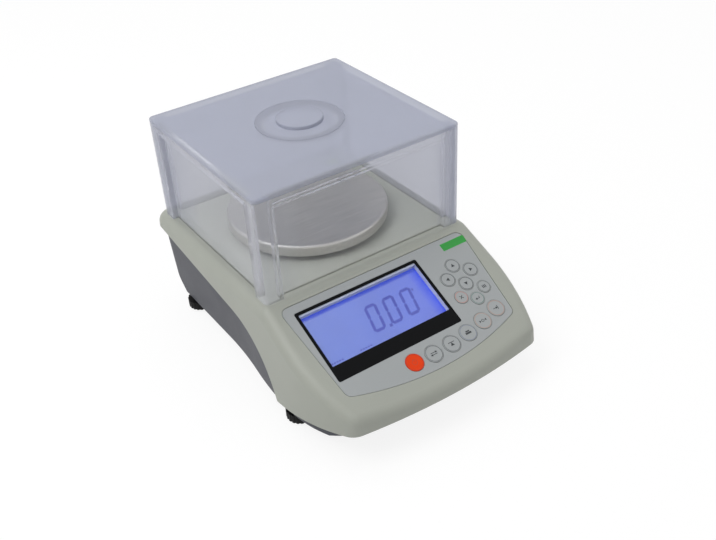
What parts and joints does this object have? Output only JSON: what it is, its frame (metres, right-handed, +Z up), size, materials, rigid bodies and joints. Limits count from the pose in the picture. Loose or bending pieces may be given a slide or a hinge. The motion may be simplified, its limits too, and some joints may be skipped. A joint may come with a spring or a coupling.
{
  "type": "precision scale",
  "caption": "Benchtop precision scale with a round steel pan under a clear draft shield, a sloped panel with a display and round keys, and adjustable feet.",
  "frame": {"origin": "middle of the body's outline on the table", "axes": "+X to the user's right, +Y away from the user, +Z up"},
  "size_m": [0.2028, 0.284, 0.175],
  "materials": {
    "cover_plastic": "satin",
    "base_plastic": "satin",
    "zinc_steel": "satin",
    "overlay_film": "matte",
    "bezel_black": "gloss",
    "clear_window": "gloss",
    "white_plastic": "matte",
    "display_blue": "gloss",
    "backlight_white": "matte",
    "circuit_board": "satin",
    "dome_steel": "polished",
    "chip_black": "matte",
    "tinned_can": "satin",
    "capacitor_sleeve": "gloss",
    "connector_black": "satin",
    "connector_steel": "satin",
    "machined_aluminium": "machined",
    "load_cell_aluminium": "machined",
    "turned_steel": "turned",
    "cast_aluminium": "cast",
    "rubber_black": "matte",
    "pan_steel": "brushed",
    "clear_acrylic": "gloss",
    "level_plastic": "satin",
    "level_liquid": "gloss",
    "insert_brass": "satin",
    "key_grey": "satin",
    "key_orange": "satin",
    "foot_plastic": "satin"
  },
  "bodies": {
    "housing": {"top_cover": "cover_plastic", "bottom_housing": "base_plastic", "housing_screws": "zinc_steel", "keypad_overlay": "overlay_film", "display_bezel": "bezel_black", "display_window": "clear_window", "display_frame": "white_plastic", "display_glass": "display_blue", "backlight": "backlight_white", "front_board": "circuit_board", "front_board_screws": "zinc_steel", "snap_domes": "dome_steel", "main_board": "circuit_board", "main_board_screws": "zinc_steel", "processor": "chip_black", "converter_can": "tinned_can", "regulator": "chip_black", "capacitors": "capacitor_sleeve", "power_inlet": "connector_black", "serial_port": "connector_steel", "mount_block": "machined_aluminium", "mount_screws": "zinc_steel", "load_cell": "load_cell_aluminium", "overload_stop": "zinc_steel", "level_case": "level_plastic", "level_vial": "level_liquid", "foot_inserts": "insert_brass"},
    "pan_stage": {"bridge": "machined_aluminium", "bridge_screws": "zinc_steel", "pan_post": "turned_steel", "pan_support": "cast_aluminium", "pan_cushions": "rubber_black"},
    "pan": {"weighing_pan": "pan_steel"},
    "shield": {"draft_shield": "clear_acrylic"},
    "lid": {"shield_lid": "clear_acrylic"},
    "power_key": {"power_key": "key_orange"},
    "mode_key": {"mode_key": "key_grey"},
    "unit_key": {"unit_key": "key_grey"},
    "print_key": {"print_key": "key_grey"},
    "zero_key": {"zero_key": "key_grey"},
    "tare_key": {"tare_key": "key_grey"},
    "up_key": {"up_key": "key_grey"},
    "left_key": {"left_key": "key_grey"},
    "right_key": {"right_key": "key_grey"},
    "down_key": {"down_key": "key_grey"},
    "clear_key": {"clear_key": "key_grey"},
    "count_key": {"count_key": "key_grey"},
    "enter_key": {"enter_key": "key_grey"},
    "rear_left_pad": {"rear_left_foot_pad": "rubber_black"},
    "rear_left_wheel": {"rear_left_foot_wheel": "foot_plastic"},
    "rear_right_pad": {"rear_right_foot_pad": "rubber_black"},
    "rear_right_wheel": {"rear_right_foot_wheel": "foot_plastic"},
    "front_left_pad": {"front_left_foot_pad": "rubber_black"},
    "front_left_wheel": {"front_left_foot_wheel": "foot_plastic"},
    "front_right_pad": {"front_right_foot_pad": "rubber_black"},
    "front_right_wheel": {"front_right_foot_wheel": "foot_plastic"}
  },
  "joints": [
    {"name": "pan_deflection", "type": "slide", "parent": "housing", "child": "pan_stage", "axis": [0, 0, -1], "range_m": [0, 0.0005], "stiffness_N_per_m": 20000, "springref_m": -0.0003, "deforming": ["load_cell"]},
    {"name": "pan_lift", "type": "slide", "parent": "pan_stage", "child": "pan", "axis": [0, 0, 1], "range_m": [0, 0.05]},
    {"name": "shield_lift", "type": "slide", "parent": "housing", "child": "shield", "axis": [0, 0, 1], "range_m": [0, 0.12]},
    {"name": "lid_lift", "type": "slide", "parent": "shield", "child": "lid", "axis": [0, 0, 1], "range_m": [0, 0.04]},
    {"name": "power_press", "type": "slide", "parent": "housing", "child": "power_key", "axis": [0, 0.4115, -0.9114], "range_m": [0, 0.0003], "stiffness_N_per_m": 100, "springref_m": -0.002},
    {"name": "mode_press", "type": "slide", "parent": "housing", "child": "mode_key", "axis": [0, 0.4115, -0.9114], "range_m": [0, 0.0003], "stiffness_N_per_m": 100, "springref_m": -0.002},
    {"name": "unit_press", "type": "slide", "parent": "housing", "child": "unit_key", "axis": [0, 0.4115, -0.9114], "range_m": [0, 0.0003], "stiffness_N_per_m": 100, "springref_m": -0.002},
    {"name": "print_press", "type": "slide", "parent": "housing", "child": "print_key", "axis": [0, 0.4115, -0.9114], "range_m": [0, 0.0003], "stiffness_N_per_m": 100, "springref_m": -0.002},
    {"name": "zero_press", "type": "slide", "parent": "housing", "child": "zero_key", "axis": [0, 0.4115, -0.9114], "range_m": [0, 0.0003], "stiffness_N_per_m": 100, "springref_m": -0.002},
    {"name": "tare_press", "type": "slide", "parent": "housing", "child": "tare_key", "axis": [0, 0.4115, -0.9114], "range_m": [0, 0.0003], "stiffness_N_per_m": 100, "springref_m": -0.002},
    {"name": "up_press", "type": "slide", "parent": "housing", "child": "up_key", "axis": [0, 0.4115, -0.9114], "range_m": [0, 0.0003], "stiffness_N_per_m": 100, "springref_m": -0.002},
    {"name": "left_press", "type": "slide", "parent": "housing", "child": "left_key", "axis": [0, 0.4115, -0.9114], "range_m": [0, 0.0003], "stiffness_N_per_m": 100, "springref_m": -0.002},
    {"name": "right_press", "type": "slide", "parent": "housing", "child": "right_key", "axis": [0, 0.4115, -0.9114], "range_m": [0, 0.0003], "stiffness_N_per_m": 100, "springref_m": -0.002},
    {"name": "down_press", "type": "slide", "parent": "housing", "child": "down_key", "axis": [0, 0.4115, -0.9114], "range_m": [0, 0.0003], "stiffness_N_per_m": 100, "springref_m": -0.002},
    {"name": "clear_press", "type": "slide", "parent": "housing", "child": "clear_key", "axis": [0, 0.4115, -0.9114], "range_m": [0, 0.0003], "stiffness_N_per_m": 100, "springref_m": -0.002},
    {"name": "count_press", "type": "slide", "parent": "housing", "child": "count_key", "axis": [0, 0.4115, -0.9114], "range_m": [0, 0.0003], "stiffness_N_per_m": 100, "springref_m": -0.002},
    {"name": "enter_press", "type": "slide", "parent": "housing", "child": "enter_key", "axis": [0, 0.4115, -0.9114], "range_m": [0, 0.0003], "stiffness_N_per_m": 100, "springref_m": -0.002},
    {"name": "rear_left_height", "type": "slide", "parent": "housing", "child": "rear_left_pad", "axis": [0, 0, -1], "range_m": [-0.0025, 0.00625]},
    {"name": "rear_left_turn", "type": "hinge", "parent": "rear_left_pad", "child": "rear_left_wheel", "pos_m": [-0.083, 0.10315, 0], "axis": [0, 0, 1], "range_deg": [-721, 1801]},
    {"name": "rear_right_height", "type": "slide", "parent": "housing", "child": "rear_right_pad", "axis": [0, 0, -1], "range_m": [-0.0025, 0.00625]},
    {"name": "rear_right_turn", "type": "hinge", "parent": "rear_right_pad", "child": "rear_right_wheel", "pos_m": [0.083, 0.10315, 0], "axis": [0, 0, 1], "range_deg": [-721, 1801]},
    {"name": "front_left_height", "type": "slide", "parent": "housing", "child": "front_left_pad", "axis": [0, 0, -1], "range_m": [-0.0025, 0.00625]},
    {"name": "front_left_turn", "type": "hinge", "parent": "front_left_pad", "child": "front_left_wheel", "pos_m": [-0.088, -0.06735, 0], "axis": [0, 0, 1], "range_deg": [-721, 1801]},
    {"name": "front_right_height", "type": "slide", "parent": "housing", "child": "front_right_pad", "axis": [0, 0, -1], "range_m": [-0.0025, 0.00625]},
    {"name": "front_right_turn", "type": "hinge", "parent": "front_right_pad", "child": "front_right_wheel", "pos_m": [0.088, -0.06735, 0], "axis": [0, 0, 1], "range_deg": [-721, 1801]}
  ],
  "couplings": [
    {"joint": "rear_left_turn", "follows": "rear_left_height", "rad_per_m": 5026.5},
    {"joint": "rear_right_turn", "follows": "rear_right_height", "rad_per_m": 5026.5},
    {"joint": "front_left_turn", "follows": "front_left_height", "rad_per_m": 5026.5},
    {"joint": "front_right_turn", "follows": "front_right_height", "rad_per_m": 5026.5}
  ]
}
